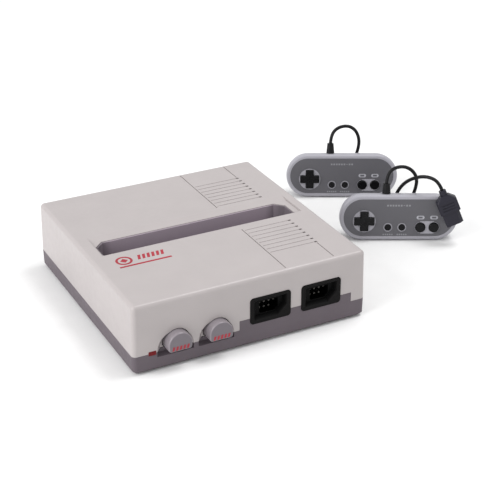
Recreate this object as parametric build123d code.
"""Home game console with two wired controllers.

Every length is in millimetres and +Z is up.  The console and both controllers stand on the plane
Z = 0.  The origin lies on that plane, in the middle of the ground that console and controllers
cover.  Each separate piece of the real object is one STEP file in parts/.
"""
from build123d import *
import math
import os

# ---------------------------------------------------------------- console: driving dimensions
WIDTH = 190.0            # across the front, at the widest
DEPTH = 191.0            # front to back
HEIGHT = 55.8            # to the top face, feet included
SEAM = 15.6              # height of the line between the two halves of the case
BASE_BOTTOM = 1.0        # the feet hold the case this high
WALL = 2.4               # thickness of the moulded case
SIDE_DRAFT = 1.0         # each side wall leans in by this much at the top
CORNER = 3.4             # radius of the upright corners
TOP_EDGE = 3.3           # radius round the top face
CONSOLE_AT = (-72.3, -15.4)      # console centre in the shared frame
FRONT = -DEPTH / 2

SLOT = (-82.0, 80.0, -14.0, 10.5)       # cartridge slot: low x, high x, front y, back y
SLOT_CLIP = 7.0                         # cut-off corners at the back of the slot
DISH = (-83.2, 85.2, 18.5, 1.3)         # shallow dish round the slot: low x, high x, back y, drop
WELL_FLOOR = 24.0                       # height of the floor of the cartridge well
RIB_X = (28.2, 68.5)                    # the two long grooves in the top face
RIB_ROWS = 8
RIB_FIRST = 24.2                        # first row of ribs from the centre line, front and back
RIB_PITCH = 5.9
RIB_DEEP = 0.3           # the ribs are shallow
GROOVE_ENDS = (21.5, 92.0)

BUTTON_X = (-60.8, -28.6)               # power, reset
BUTTON_R = 9.2
BUTTON_Z = (15.9, 21.1)                 # flat bottom, centre of the round top
BUTTON_FOOT = 2.4                       # radius of the two lower corners
BUTTON_OUT = 6.6                        # how far the buttons stand out of the front
BUTTON_GAP = 0.6
STEM_END = -62.2                        # the buttons' stems end just short of their switches
SCOOP_R = 14.2                          # hollow round each button, at the front
SCOOP_SHIFT = -1.3                      # and how far off the button it sits
SCOOP_DEEP = 5.0
SCOOP_WALL = 1.8
TROUGH = (11.0, 12.6, 4.4)              # hollow under it in the base: front z, back z, depth

PORT_X = (14.0, 56.4)
PORT_Z = 28.5
PORT_SIZE = (33.6, 21.6)
PORT_MOUTH = (27.0, 16.6)
PORT_SOCKET = (15.4, 9.6)
PORT_DEEP = 15.0
PIN_PITCH = 3.9
PIN_ROWS = 4.2
TAB = (-11.3, 82.7, 23.2)               # raised part of the base round the ports: x, x, height

LED_SIZE = (5.8, 3.2)
LED_X = -80.1

BOARD = (-70.0, 70.0, -62.0, 88.0)      # main board
BOARD_Z = 10.0
BOARD_THICK = 1.6
POSTS = [(x, y) for x in (-84.0, 84.0) for y in (-78.0, 78.0)]
BOARD_HOLES = [(x, y) for x in (-64.0, 64.0) for y in (-30.0, 74.0)]
FEET = [(x, y) for x in (-71.0, 71.0) for y in (-81.0, 81.0)]
RCA_X = (40.0, 56.0)
RCA_Z = 17.2
RCA_R = 4.15
DC_X = -40.0
JACK_Z = 17.1

# ---------------------------------------------------------------- controllers
PAD_L = 100.0            # length of the controller
PAD_H = 39.0             # height, standing on its long edge
PAD_T = 15.0             # thickness
PAD_SPLIT = 6.0          # the two shells meet this deep behind the face
PAD_LEAN = 10.0          # the tapered back shell stands it leaning back by this much, in degrees
PAD_TURN = -27.29        # both controllers are turned by this much on the floor, in degrees
PAD_SPOTS = ((188.6, 94.6), (186.7, -2.0))        # foot of each face from the console centre
PAD_WALL = 1.8
FACE_INSET = 3.4
FACE_THICK = 0.6
PLATFORM = 0.2           # raised rings stand this much above the faceplate

CROSS_AT = (-29.0, 16.5)
CROSS_RING = 9.6
CROSS_SPAN = 16.6
CROSS_ARM = 6.6
CROSS_OUT = 2.2
SMALL_AT = ((-9.0, 11.2), (2.8, 11.2))           # select, start
SMALL_R = 2.6
SMALL_RING = 3.7
ROUND_AT = ((18.4, 11.2), (29.8, 11.2))          # B, A
ROUND_R = 4.1
ROUND_RING = 4.7
BAND = 5.4
KEY_GAP = 0.35
MAT_BACK = 6.4           # the rubber mat ends and the circuit board begins at this depth
PAD_BOARD = 1.4
PAD_POSTS = ((-42.0, 19.5), (42.0, 19.5), (-3.0, 30.0))

RELIEF_X = -10.4
RELIEF_UP = 9.0
CORD_D = 3.0
COIL_R = 16.6            # middle of the coil's turns
COIL_SECTION = (9.6, 12.8)
COIL_LIFT = 0.8
COIL_AT = ((7.4, 48.6), (-12.6, 48.8))
TIE_ARC = 15.0
TIE_TURN = (205.0, 75.0)
PLUG_BODY = (17.4, 10.0)
PLUG_NOSE = (14.6, 8.8)
PLUG_LENGTHS = (4.5, 4.5, 11.0, 11.0)            # neck, shoulder, body, nose


def save(node, *solids):
    """Writes one node: a single solid, or a group of separate ones."""
    flat = []
    for shape in solids:
        flat += shape.solids()
    whole = flat[0] if len(flat) == 1 else Compound(children=[Solid(s.wrapped) for s in flat])
    export_step(whole, f"parts/{node}.step")
    return whole


def block(x0, x1, y0, y1, z0, z1):
    """A plain box between two opposite corners."""
    return Pos((x0 + x1) / 2, (y0 + y1) / 2, (z0 + z1) / 2) * Box(x1 - x0, y1 - y0, z1 - z0)


def rod(x, y, z0, z1, r):
    """An upright cylinder from z0 to z1."""
    return Pos(x, y, (z0 + z1) / 2) * Cylinder(r, z1 - z0)


def rod_y(x, z, y0, y1, r):
    """A cylinder along Y from y0 to y1."""
    return Pos(x, (y0 + y1) / 2, z) * Rot(90, 0, 0) * Cylinder(r, y1 - y0)


def upright(face, y0, y1):
    """A sketch drawn in X and Z, made solid from y0 back to y1."""
    return Pos(0, y0, 0) * extrude(Plane.XZ * face, amount=-(y1 - y0))


def on_console(shape):
    return Pos(*CONSOLE_AT, 0) * shape


# ---------------------------------------------------------------- console case
def case_block(grow, z0, z1):
    """The outer form of the console between two heights, grown or shrunk by a wall."""
    low = Pos(0, 0, z0) * RectangleRounded(WIDTH + 2 * grow, DEPTH + 2 * grow, CORNER + grow)
    lean = SIDE_DRAFT * (z1 - z0) / (HEIGHT - SEAM)
    high = Pos(0, 0, z1) * RectangleRounded(
        WIDTH + 2 * grow - 2 * lean, DEPTH + 2 * grow, CORNER + grow)
    return loft([low, high])


def slot_outline(grow):
    """The cartridge opening, with its two back corners cut off."""
    x0, x1, y0, y1 = SLOT
    clip = SLOT_CLIP + 0.4 * grow
    points = [(x0 - grow, y0 - grow), (x1 + grow, y0 - grow), (x1 + grow, y1 + grow - clip),
              (x1 + grow - clip, y1 + grow), (x0 - grow + clip, y1 + grow), (x0 - grow, y1 + grow - clip)]
    return make_face(Polyline(*points, close=True))


def slot_dish():
    """The ramp that leads down to the slot: nothing at its back edge, deepest at the slot."""
    x0, x1, y_back, drop = DISH
    ramp = make_face(Polyline((y_back, HEIGHT), (SLOT[3], HEIGHT - drop), (SLOT[2] + 4, HEIGHT - drop),
                              (SLOT[2], HEIGHT), (SLOT[2], HEIGHT + 2), (y_back, HEIGHT + 2), close=True))
    return Pos(x0, 0, 0) * extrude(Plane.YZ * ramp, amount=x1 - x0)


def rib_cuts():
    """Long grooves, fine cross ribs and the row of vent slots at their ends."""
    cuts = []
    last = RIB_FIRST + (RIB_ROWS - 1) * RIB_PITCH
    for side in (-1, 1):
        near, far = sorted((side * GROOVE_ENDS[0], side * GROOVE_ENDS[1]))
        cuts.append(block(RIB_X[0] - 0.4, RIB_X[0] + 0.4, near, far, HEIGHT - 0.7, HEIGHT + 1))
        near, far = sorted((side * (last + 2), side * GROOVE_ENDS[1]))
        cuts.append(block(RIB_X[1] - 0.4, RIB_X[1] + 0.4, near, far, HEIGHT - 0.7, HEIGHT + 1))
        for row in range(RIB_ROWS):
            y = side * (RIB_FIRST + row * RIB_PITCH)
            rib = block(RIB_X[0] + 1.5, RIB_X[1] - 0.5, y - 0.45, y + 0.45, HEIGHT - RIB_DEEP, HEIGHT + 1)
            vent = Pos(RIB_X[1], y, HEIGHT - WALL / 2) * Box(2.4, 1.9, WALL + 2)
            cuts += [rib, vent]
    return cuts


def button_outline(grow):
    """Round-topped button outline in X and Z, centred on x = 0, with its lower corners rounded."""
    r = BUTTON_R + grow
    z0, zc = BUTTON_Z[0] - grow, BUTTON_Z[1]
    edges = [Line((-r, z0), (r, z0)), Line((r, z0), (r, zc)),
             ThreePointArc((r, zc), (0, zc + r), (-r, zc)), Line((-r, zc), (-r, z0))]
    outline = make_face(edges)
    low = [v for v in outline.vertices() if v.Y < z0 + 0.01]
    return fillet(low, BUTTON_FOOT + grow)


def scoop(x, grow):
    """The cone-shaped hollow that opens out round a button, above the seam, or its outer skin."""
    deep = SCOOP_DEEP + grow
    cone = Pos(x + SCOOP_SHIFT, FRONT - 0.01 + deep / 2, SEAM) * Rot(-90, 0, 0) * Cone(
        SCOOP_R + grow, BUTTON_R + 0.8 + grow, deep)
    return cone - block(x - 30, x + 30, FRONT - 1, FRONT + 20, 0, SEAM)


def trough(x, grow):
    """The shallow hollow that the base has under a button, or its outer skin."""
    z_front, z_back, deep = TROUGH
    y_front = FRONT - 1 if grow == 0 else FRONT + 0.5
    deep = FRONT + deep + grow
    side = make_face(Polyline((y_front, z_front - grow), (deep, z_back - grow), (deep, SEAM), (y_front, SEAM),
                              close=True))
    half = SCOOP_R + grow
    return Pos(x + SCOOP_SHIFT - half, 0, 0) * extrude(Plane.YZ * side, amount=2 * half)


def front_cuts():
    """Everything that goes through the front wall: buttons, ports and lamp window."""
    cuts = []
    for x in BUTTON_X:
        cuts.append(scoop(x, 0))
        cuts.append(trough(x, 0))
        cuts.append(Pos(x, 0, 0) * upright(button_outline(BUTTON_GAP), FRONT - 2, FRONT + 8))
    for x in PORT_X:
        cuts.append(Pos(x, 0, PORT_Z) * upright(RectangleRounded(*PORT_SIZE, 2.8), FRONT - 2, FRONT + 8))
    cuts.append(Pos(LED_X, FRONT + 2, SEAM) * Box(LED_SIZE[0], 8, LED_SIZE[1]))
    return cuts


def rear_cuts():
    cuts = [rod_y(x, RCA_Z, -FRONT - 6, -FRONT + 1, 5.6) for x in RCA_X]
    cuts.append(Pos(DC_X, -FRONT, JACK_Z) * Box(11.2, 12, 11.2))
    return cuts


def top_case():
    outer = case_block(0, SEAM, HEIGHT)
    rim = [e for e in outer.edges() if e.center().Z > HEIGHT - 0.01]
    outer = fillet(rim, TOP_EDGE)
    shell = outer - case_block(-WALL, SEAM - 1, HEIGHT - WALL)
    for x in BUTTON_X:
        shell += scoop(x, SCOOP_WALL) & block(x - 30, x + 30, FRONT + 1, FRONT + 20, SEAM, HEIGHT)
    for x, y in POSTS:
        shell += rod(x, y, 10.0, HEIGHT - WALL, 4.2)
        shell -= rod(x, y, 9.0, 24.0, 1.3)
    x0, x1, z = TAB
    shell -= block(x0, x1, FRONT - 1, FRONT + WALL + 0.4, SEAM - 1, z)
    shell -= slot_dish()
    shell -= Pos(0, 0, HEIGHT - 8) * extrude(slot_outline(0.0), amount=12)
    for cut in rib_cuts() + front_cuts() + rear_cuts():
        shell -= cut
    return shell


def base_case():
    low = Pos(0, 0, BASE_BOTTOM) * RectangleRounded(WIDTH - 4.4, DEPTH - 4.4, CORNER - 1)
    mid = Pos(0, 0, BASE_BOTTOM + 2.2) * RectangleRounded(WIDTH - 0.6, DEPTH, CORNER)
    high = Pos(0, 0, SEAM) * RectangleRounded(WIDTH, DEPTH, CORNER)
    outer = loft([low, mid]) + loft([mid, high])
    inside = Pos(0, 0, BASE_BOTTOM + WALL) * extrude(
        RectangleRounded(WIDTH - 2 * WALL - 0.6, DEPTH - 2 * WALL, CORNER - 2), amount=40)
    shell = outer - inside
    for x in BUTTON_X:
        shell += trough(x, SCOOP_WALL)
    x0, x1, z = TAB
    shell += block(x0 + 0.15, x1 - 0.15, FRONT, FRONT + WALL, SEAM - 1, z - 0.15)
    for x, y in BOARD_HOLES:
        shell += rod(x, y, BASE_BOTTOM + 1, BOARD_Z, 3.2)
        shell -= rod(x, y, BASE_BOTTOM + 2.5, BOARD_Z + 1, 1.0)
    for x, y in POSTS:
        shell += rod(x, y, BASE_BOTTOM + 1, 9.9, 4.2)
        shell -= rod(x, y, 0, 20, 1.6)
        shell -= rod(x, y, 0, 6.4, 3.2)
    for x, y in FEET:
        shell -= rod(x, y, 0, BASE_BOTTOM + 0.8, 5.2)
    for row in range(6):
        y = -25.0 + row * 10.0
        shell -= block(-30, 30, y - 1, y + 1, 0, 12)
    for cut in front_cuts() + rear_cuts():
        shell -= cut
    return shell


def cartridge_well():
    """The liner of the slot: a deep open box with a way through its floor for the connector."""
    rim_z = HEIGHT - DISH[3] - 0.6
    outer = Pos(0, 0, WELL_FLOOR - 2) * extrude(slot_outline(-0.1), amount=rim_z - WELL_FLOOR + 2)
    inner = Pos(0, 0, WELL_FLOOR) * extrude(slot_outline(-1.2), amount=40)
    gap = block(-46.5, 46.5, -8.6, 1.6, 0, 60)
    return outer - inner - gap


def cartridge_connector():
    body = block(-46, 46, -8.1, 1.1, BOARD_Z + BOARD_THICK, 33.0)
    return body - block(-43.5, 43.5, -4.7, -2.3, 21.0, 40.0)


def main_board():
    x0, x1, y0, y1 = BOARD
    board = block(x0, x1, y0, y1, BOARD_Z, BOARD_Z + BOARD_THICK)
    for x, y in BOARD_HOLES:
        board -= rod(x, y, 0, 30, 1.0)
    return board


def board_chips():
    top = BOARD_Z + BOARD_THICK
    chips = [block(-50, -22, 14, 28, top, top + 3.4), block(-12, 24, 16, 30, top, top + 3.4),
             block(34, 56, -36, -26, top, top + 2.6)]
    return chips


def capacitors():
    top = BOARD_Z + BOARD_THICK
    return [rod(x, y, top, top + 11, 3.2) for x, y in ((-48, 40), (-38, 40), (40, 46), (50, -48))]


def voltage_regulator():
    top = BOARD_Z + BOARD_THICK
    fin = block(-26, 4, 47, 49, top, 40) + block(-26, 4, 44, 49, 36, 38)
    return fin + block(-16, -6, 42.4, 47, 20, 34)


def power_switch():
    top = BOARD_Z + BOARD_THICK
    x = BUTTON_X[0]
    return block(x - 4, x + 4, -59, -45, top, top + 9)


def reset_switch():
    top = BOARD_Z + BOARD_THICK
    x = BUTTON_X[1]
    return block(x - 4, x + 4, -59, -51, top, top + 9)


def console_button(x):
    """A hollow-ended cap with a rounded rim and a stem that reaches back to its switch."""
    cap = upright(button_outline(0), FRONT - BUTTON_OUT, FRONT + 7)
    rim = [e for e in cap.edges() if abs(e.center().Y - (FRONT - BUTTON_OUT)) < 0.01]
    cap = fillet(rim, 1.3)
    cap += upright(button_outline(0), FRONT + 6.9, FRONT + 7.9)
    flange = upright(button_outline(1.4), FRONT + 8.4, FRONT + 10.0)
    flange -= block(-20, 20, FRONT, FRONT + 20, 0, BUTTON_Z[0] - 0.2)
    stem = block(-3, 3, FRONT + 7.8, STEM_END, 16.4, 20.4)
    return Pos(x, 0, 0) * (cap + flange + stem)


def port_housing(x):
    """A black socket: a flat bezel, a funnel mouth and a narrower socket with one cut corner."""
    bezel = RectangleRounded(PORT_SIZE[0] - 0.3, PORT_SIZE[1] - 0.3, 2.7)
    outer = upright(bezel, FRONT - 0.5, FRONT + PORT_DEEP)
    mouth_w, mouth_h = PORT_MOUTH
    mouth = loft([Plane.XZ.offset(-(FRONT - 0.6)) * clipped(mouth_w, mouth_h, 8.0),
                  Plane.XZ.offset(-(FRONT + 3.2)) * clipped(mouth_w - 4.6, PORT_SOCKET[1] + 1.6, 5.0)])
    socket = upright(clipped(*PORT_SOCKET, 3.0), FRONT + 3.0, FRONT + PORT_DEEP - 2)
    return Pos(x, 0, PORT_Z) * (outer - mouth - socket)


def clipped(width, height, clip):
    """A rectangle with its two lower corners rounded and its lower right corner cut off."""
    w, h = width / 2, height / 2
    outline = make_face(Polyline((-w, h), (w, h), (w, -h + clip), (w - clip, -h), (-w, -h), close=True))
    corners = [v for v in outline.vertices() if v.X < 0]
    return fillet(corners, 1.4)


def pin_places():
    """Seven contacts: four above, three below."""
    places = []
    for row, count in ((1, 4), (-1, 3)):
        for i in range(count):
            places.append((-1.5 * PIN_PITCH + i * PIN_PITCH, row * PIN_ROWS / 2))
    return places


def port_pins():
    pins = []
    for x in PORT_X:
        for dx, dz in pin_places():
            y0, y1 = FRONT + PORT_DEEP - 8.2, FRONT + PORT_DEEP - 2
            pins.append(rod_y(x + dx, PORT_Z + dz, y0, y1, 0.75))
    return pins


def power_led():
    lens = Pos(LED_X, FRONT + 2.0, SEAM) * Box(LED_SIZE[0], 5.0, LED_SIZE[1])
    front = [e for e in lens.edges() if abs(e.center().Y - (FRONT - 0.5)) < 0.01]
    return fillet(front, 0.4)


def rca_jacks():
    """Two phono jacks: a threaded-looking collar, a bare outer shell and a hollow centre contact."""
    jacks = []
    for x in RCA_X:
        back = -FRONT
        collar = rod_y(x, RCA_Z, back - 7, back + 1.2, 5.5)
        collar += block(x - 5.6, x + 5.6, back - 13, back - 6.9, BOARD_Z + BOARD_THICK, RCA_Z + 5.6)
        shell = rod_y(x, RCA_Z, back + 1.1, back + 9.0, RCA_R)
        jacks.append((collar + shell) - rod_y(x, RCA_Z, back - 4, back + 12, 1.7))
    return jacks


def dc_jack():
    back = -FRONT
    body = Pos(DC_X, back - 6.4, JACK_Z) * Box(11, 13, 11)
    hollow = rod_y(DC_X, JACK_Z, back - 9, back + 2, 2.75)
    pin = rod_y(DC_X, JACK_Z, back - 9.5, back - 1.4, 1.0)
    return (body - hollow) + pin


def case_screws():
    return [rod(x, y, 4.2, 6.3, 2.9) + rod(x, y, 6.2, 20.0, 1.3) for x, y in POSTS]


def board_screws():
    top = BOARD_Z + BOARD_THICK
    return [rod(x, y, top, top + 1.8, 2.4) + rod(x, y, BASE_BOTTOM + 3, top + 0.1, 1.0)
            for x, y in BOARD_HOLES]


def rubber_feet():
    feet = []
    for x, y in FEET:
        foot = rod(x, y, 0, BASE_BOTTOM + 0.8, 5.0)
        rim = [e for e in foot.edges() if e.center().Z < 0.01]
        feet.append(fillet(rim, 0.7))
    return feet


# ---------------------------------------------------------------- controllers
def stadium(length, height, z_mid):
    return Pos(0, z_mid) * SlotOverall(length, height)


def pad_slab(inset, y0, y1):
    """The controller's outline drawn in by an inset, solid from y0 to y1."""
    return upright(stadium(PAD_L - 2 * inset, PAD_H - 2 * inset, PAD_H / 2), y0, y1)


def taper(inset, y0, y1):
    """The same outline, leaning in towards the back as the back shell does."""
    lean = (y1 - y0) * math.tan(math.radians(PAD_LEAN))
    near = Plane.XZ.offset(-y0) * stadium(PAD_L - 2 * inset, PAD_H - 2 * inset, PAD_H / 2)
    cut = 2 * (inset + lean)
    far = Plane.XZ.offset(-y1) * stadium(PAD_L - cut, PAD_H - cut, PAD_H / 2)
    return loft([near, far])


def disc(spot, r, y0, y1):
    return rod_y(spot[0], spot[1], y0, y1, r)


def cross_outline(span, arm):
    return Rectangle(span, arm) + Rectangle(arm, span)


def cross_solid(grow, y0, y1):
    face = cross_outline(CROSS_SPAN + 2 * grow, CROSS_ARM + 2 * grow)
    return Pos(CROSS_AT[0], 0, CROSS_AT[1]) * upright(face, y0, y1)


def platforms(grow, y0, y1):
    """The lighter areas of the front shell that show through the faceplate round each key."""
    shape = disc(CROSS_AT, CROSS_RING + grow, y0, y1)
    for spot in SMALL_AT:
        shape += disc(spot, SMALL_RING + grow, y0, y1)
    for spot in ROUND_AT:
        shape += disc(spot, ROUND_RING + grow, y0, y1)
    x0, x1 = ROUND_AT[0][0], ROUND_AT[1][0]
    z = ROUND_AT[0][1]
    return shape + block(x0, x1, y0, y1, z - BAND - grow, z + BAND + grow)


def key_holes(grow, y0, y1):
    shape = cross_solid(grow, y0, y1)
    for spot in SMALL_AT:
        shape += disc(spot, SMALL_R + grow, y0, y1)
    for spot in ROUND_AT:
        shape += disc(spot, ROUND_R + grow, y0, y1)
    return shape


def relief_hole(grow):
    return rod(RELIEF_X, 7.0, PAD_H - 8, PAD_H + 4, 2.6 + grow)


def pad_front_shell():
    outer = pad_slab(0, 0, PAD_SPLIT)
    rim = [e for e in outer.edges() if abs(e.center().Y) < 0.01]
    outer = fillet(rim, 2.2)
    shell = outer - pad_slab(FACE_INSET, -1, FACE_THICK)
    shell += platforms(0, -PLATFORM, FACE_THICK)
    shell -= pad_slab(PAD_WALL, FACE_THICK + PAD_WALL, PAD_SPLIT + 1)
    for x, z in PAD_POSTS:
        shell += rod_y(x, z, FACE_THICK + 1, MAT_BACK, 2.4)
        shell -= rod_y(x, z, FACE_THICK + PAD_WALL, MAT_BACK + 1, 1.2)
    shell -= key_holes(KEY_GAP, -1, PAD_SPLIT)
    return shell - relief_hole(0)


def pad_back_shell():
    outer = taper(0, PAD_SPLIT, PAD_T)
    rim = [e for e in outer.edges() if abs(e.center().Y - PAD_T) < 0.01]
    outer = fillet(rim, 2.0)
    shell = outer - taper(PAD_WALL, PAD_SPLIT, PAD_T - PAD_WALL)
    for x, z in PAD_POSTS:
        shell += rod_y(x, z, MAT_BACK + PAD_BOARD, PAD_T - 1, 2.4)
        shell -= rod_y(x, z, 0, PAD_T + 1, 1.2)
        shell -= rod_y(x, z, PAD_T - 2.2, PAD_T + 1, 2.2)
    return shell - relief_hole(0)


def pad_faceplate():
    plate = pad_slab(FACE_INSET + 0.05, 0, FACE_THICK)
    return plate - platforms(0.05, -1, 2)


def pad_cross():
    """The direction cross: four raised arms with a dimple in the middle, over a retaining disc."""
    under = FACE_THICK + PAD_WALL
    arms = cross_solid(0, -CROSS_OUT, under + 0.6)
    edges = [e for e in arms.edges() if abs(e.center().Y + CROSS_OUT) < 0.01]
    arms = fillet(edges, 0.6)
    arms -= disc(CROSS_AT, 2.2, -CROSS_OUT - 1, -CROSS_OUT + 0.3)
    flange = disc(CROSS_AT, CROSS_RING - 0.4, under + 0.75, under + 1.45)
    neck = disc(CROSS_AT, 3.0, under - 0.5, under + 1.0)
    return arms + neck + flange - disc(CROSS_AT, 1.3, under + 0.6, under + 3)


def pad_pivot():
    under = FACE_THICK + PAD_WALL
    return Pos(CROSS_AT[0], under + 1.9, CROSS_AT[1]) * Sphere(1.2)


def pad_key(spot, r, out):
    """A round key with a rounded edge and a flange that keeps it in the shell."""
    under = FACE_THICK + PAD_WALL
    cap = disc(spot, r, -out, under + 0.5)
    edges = [e for e in cap.edges() if abs(e.center().Y + out) < 0.01]
    cap = fillet(edges, 0.5)
    return cap + disc(spot, r + 0.9, under + 0.15, under + 0.8)


def pad_mat():
    """The rubber mat with a low dome under every key and under each arm of the cross."""
    mat = block(-39, 37, MAT_BACK - 0.9, MAT_BACK, 6, 27)
    spots = [(spot, 1.9) for spot in SMALL_AT] + [(spot, 2.8) for spot in ROUND_AT]
    for dx, dz in ((6, 0), (-6, 0), (0, 6), (0, -6)):
        spots.append(((CROSS_AT[0] + dx, CROSS_AT[1] + dz), 1.6))
    for spot, r in spots:
        low = 4.9 if r < 1.7 else 4.6
        mat += disc(spot, r, low, MAT_BACK - 0.5)
    mat -= disc(CROSS_AT, 2.0, 0, 20)
    return mat


def pad_circuit_board():
    board = pad_slab(PAD_WALL + 2.4, MAT_BACK, MAT_BACK + PAD_BOARD)
    for x, z in PAD_POSTS:
        board -= rod_y(x, z, 0, 20, 1.2)
    return board - block(RELIEF_X - 5, RELIEF_X + 5, 0, 20, 31.0, 60)


def pad_screws():
    screws = []
    for x, z in PAD_POSTS:
        screws.append(rod_y(x, z, PAD_T - 2.1, PAD_T - 0.6, 2.0) + rod_y(x, z, 3.0, PAD_T - 2.0, 1.2))
    return screws


def pad_relief():
    """The tapered rubber sleeve that the cord leaves through, with its locking groove."""
    foot = rod(RELIEF_X, 7.0, PAD_H - 6.0, PAD_H + 1.0, 2.6)
    lock = rod(RELIEF_X, 7.0, PAD_H - 6.5, PAD_H - 3.2, 3.6)
    sleeve = Pos(RELIEF_X, 7.0, PAD_H + 0.3 + RELIEF_UP / 2 - 0.15) * Cone(3.6, 2.8, RELIEF_UP - 0.3)
    return foot + lock + sleeve


def lean_on_floor(shape):
    """Leans a controller's piece back on its tapered shell, so that it touches the floor."""
    lift = PAD_SPLIT * math.sin(math.radians(PAD_LEAN)) + 0.02
    return Pos(0, 0, lift) * Rot(-PAD_LEAN, 0, 0) * shape


def on_spot(index, shape):
    """From a controller's own floor frame, right and back, to the shared frame."""
    x, y = PAD_SPOTS[index]
    return Pos(CONSOLE_AT[0] + x, CONSOLE_AT[1] + y, 0) * Rot(0, 0, PAD_TURN) * shape


# ---------------------------------------------------------------- cords and plugs
# Each route is a list of points right of, behind and above the foot of its controller's face.
FALL = ((16.4, 23.6, 47.2), (15.4, 25.6, 35.6), (11.8, 26.8, 25.2))
FIRST = (
    ((-9.9, 17.0, 54.4), (-4.6, 18.4, 61.0), (5.0, 20.0, 62.6), (12.6, 21.8, 57.4)) + FALL + (
        (13.2, 25.4, 14.4), (17.2, 26.0, 6.6), (23.4, 30.0, 3.0), (28.2, 36.4, 2.5), (28.9, 43.2, 2.5),
        (27.0, 50.4, 2.5)),
    ((-9.9, 17.0, 53.8), (-4.8, 18.4, 59.6), (4.2, 20.0, 60.6), (12.0, 21.8, 55.8)) + FALL + (
        (8.8, 29.4, 14.6), (8.2, 34.4, 6.6), (8.8, 41.6, 2.7), (7.0, 49.6, 2.5)),
)
SECOND = (
    ((7.4, 68.3, 11.9), (0.4, 68.2, 11.2), (-6.0, 66.4, 8.8), (-11.0, 63.4, 6.4), (-14.2, 60.8, 5.05)),
    ((-19.0, 30.2, 11.9), (-11.6, 27.9, 12.3), (-5.4, 27.0, 17.4), (-2.0, 26.6, 27.0), (1.8, 24.8, 38.4),
     (8.2, 19.6, 48.0), (17.6, 10.6, 55.6), (26.4, 5.0, 56.4), (32.2, 2.2, 52.2), (34.4, 0.9, 47.0)),
)


def bend_radii(points):
    """The largest arc that fits each corner: 0.45 of its shorter run over tan(half the turn)."""
    radii = []
    for a, b, c in zip(points, points[1:], points[2:]):
        before, after = Vector(b) - Vector(a), Vector(c) - Vector(b)
        turn = math.radians(before.get_angle(after))
        radii.append(0.45 * min(before.length, after.length) / math.tan(turn / 2))
    return radii


def cord_tube(name, points):
    radii = bend_radii(points)
    path = FilletPolyline(*points, radius=radii)
    start = Plane(origin=path @ 0, z_dir=path % 0)
    tube = sweep(start * Circle(CORD_D / 2), path=path)
    exact = math.pi * (CORD_D / 2) ** 2 * path.length
    print(f"{name}: {path.length:.1f} mm, radii " + " ".join(f"{r:.1f}" for r in radii)
          + f", volume {tube.volume:.1f} of {exact:.1f}")
    return tube


def relief_end():
    """Where the cord leaves its sleeve, in the controller's floor frame."""
    end = lean_on_floor(Pos(RELIEF_X, 7.0, PAD_H + RELIEF_UP) * Box(0.01, 0.01, 0.01)).center()
    return (end.X, end.Y, end.Z)


def coil_ring(index):
    width, height = COIL_SECTION
    section = Plane.XZ * (Pos(COIL_R, COIL_LIFT + height / 2) * RectangleRounded(width, height, 3.6))
    return Pos(*COIL_AT[index], 0) * revolve(section, Axis.Z)


def cord_tie(index):
    """A flat plastic-covered band round the coil, on the side away from the controller."""
    width, height = COIL_SECTION
    loop = RectangleRounded(width + 1.2, height + 1.2, 4.2) - RectangleRounded(width, height, 3.6)
    section = Plane.XZ * (Pos(COIL_R, COIL_LIFT + height / 2) * loop)
    band = revolve(section, Axis.Z, revolution_arc=TIE_ARC)
    return Pos(*COIL_AT[index], 0) * Rot(0, 0, TIE_TURN[index]) * band


def plug_parts():
    """A plug pointing down, its cord coming in at the top: housing, then nose with its sockets."""
    neck, shoulder, body, nose = PLUG_LENGTHS
    wide, thick = PLUG_BODY
    housing = Pos(0, 0, -neck / 2) * Cylinder(3.1, neck)
    top = Pos(0, 0, -neck) * RectangleRounded(8.4, 7.0, 1.2)
    edge = Pos(0, 0, -neck - shoulder) * RectangleRounded(wide, thick, 1.6)
    housing += loft([top, edge])
    grip = Pos(0, 0, -neck - shoulder - body) * extrude(RectangleRounded(wide, thick, 1.6), amount=body)
    for i in range(3):
        z = -neck - shoulder - 3.0 - 2.4 * i
        for side in (-1, 1):
            grip -= Pos(0, side * (thick / 2 + 0.05), z) * Box(11, 1.0, 1.0)
    housing += grip
    low = -neck - shoulder - body
    tip = Pos(0, 0, low - nose) * extrude(nose_outline(), amount=nose)
    for dx, dy in pin_places():
        tip -= Pos(dx, dy, low - nose + 3.5) * Cylinder(0.95, 7.02)
    return housing, tip


def nose_outline():
    """Fits the console's socket: one long side has a cut corner."""
    w, h = PLUG_NOSE[0] / 2, PLUG_NOSE[1] / 2
    outline = make_face(Polyline((-w, h), (w, h), (w, -h + 2.8), (w - 2.8, -h), (-w, -h), close=True))
    return fillet([v for v in outline.vertices() if v.X < 0], 1.2)


def place_plug(index, piece):
    """Controller 1's plug lies on the floor; controller 2's hangs in front of its face."""
    end = SECOND[index][-1]
    if index == 0:
        before = SECOND[index][-2]
        turn = math.degrees(math.atan2(end[1] - before[1], end[0] - before[0]))
        lift = PLUG_BODY[1] / 2 + 0.05
        return Pos(end[0], end[1], lift) * Rot(0, 0, turn) * Rot(0, -90, 0) * Rot(0, 0, 90) * piece
    return Pos(*end) * Rot(-PAD_LEAN, 0, 0) * Rot(0, -23, 0) * piece


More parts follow.
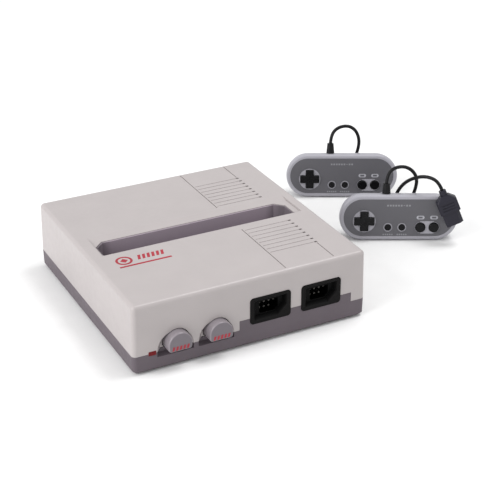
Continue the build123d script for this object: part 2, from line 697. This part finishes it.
# ---------------------------------------------------------------- the whole set
def build_console():
    nodes = {
        "top_case": [top_case()],
        "base_case": [base_case()],
        "cartridge_well": [cartridge_well()],
        "cartridge_connector": [cartridge_connector()],
        "main_board": [main_board()],
        "board_chips": board_chips(),
        "capacitors": capacitors(),
        "voltage_regulator": [voltage_regulator()],
        "power_switch": [power_switch()],
        "reset_switch": [reset_switch()],
        "power_button": [console_button(BUTTON_X[0])],
        "reset_button": [console_button(BUTTON_X[1])],
        "port_housings": [port_housing(x) for x in PORT_X],
        "port_pins": port_pins(),
        "power_led": [power_led()],
        "rca_jacks": rca_jacks(),
        "dc_jack": [dc_jack()],
        "case_screws": case_screws(),
        "board_screws": board_screws(),
        "rubber_feet": rubber_feet(),
    }
    for node, solids in nodes.items():
        save(node, *[on_console(s) for s in solids])


def build_controller(index):
    tag = f"pad{index + 1}"
    nodes = {
        "front_shell": [pad_front_shell()],
        "back_shell": [pad_back_shell()],
        "faceplate": [pad_faceplate()],
        "direction_cross": [pad_cross()],
        "cross_pivot": [pad_pivot()],
        "select_button": [pad_key(SMALL_AT[0], SMALL_R, 1.3)],
        "start_button": [pad_key(SMALL_AT[1], SMALL_R, 1.3)],
        "b_button": [pad_key(ROUND_AT[0], ROUND_R, 1.7)],
        "a_button": [pad_key(ROUND_AT[1], ROUND_R, 1.7)],
        "rubber_mat": [pad_mat()],
        "circuit_board": [pad_circuit_board()],
        "screws": pad_screws(),
        "strain_relief": [pad_relief()],
    }
    for node, solids in nodes.items():
        save(f"{tag}_{node}", *[on_spot(index, lean_on_floor(s)) for s in solids])
    first = [relief_end()] + list(FIRST[index])
    tubes = [cord_tube(f"{tag} first stretch", first), cord_tube(f"{tag} second stretch", SECOND[index])]
    save(f"{tag}_cord", *[on_spot(index, t) for t in tubes])
    save(f"{tag}_cord_coil", on_spot(index, coil_ring(index)))
    save(f"{tag}_cord_tie", on_spot(index, cord_tie(index)))
    housing, tip = plug_parts()
    save(f"{tag}_plug", on_spot(index, place_plug(index, housing)))
    save(f"{tag}_plug_nose", on_spot(index, place_plug(index, tip)))


os.makedirs("parts", exist_ok=True)
build_console()
for controller in range(2):
    build_controller(controller)
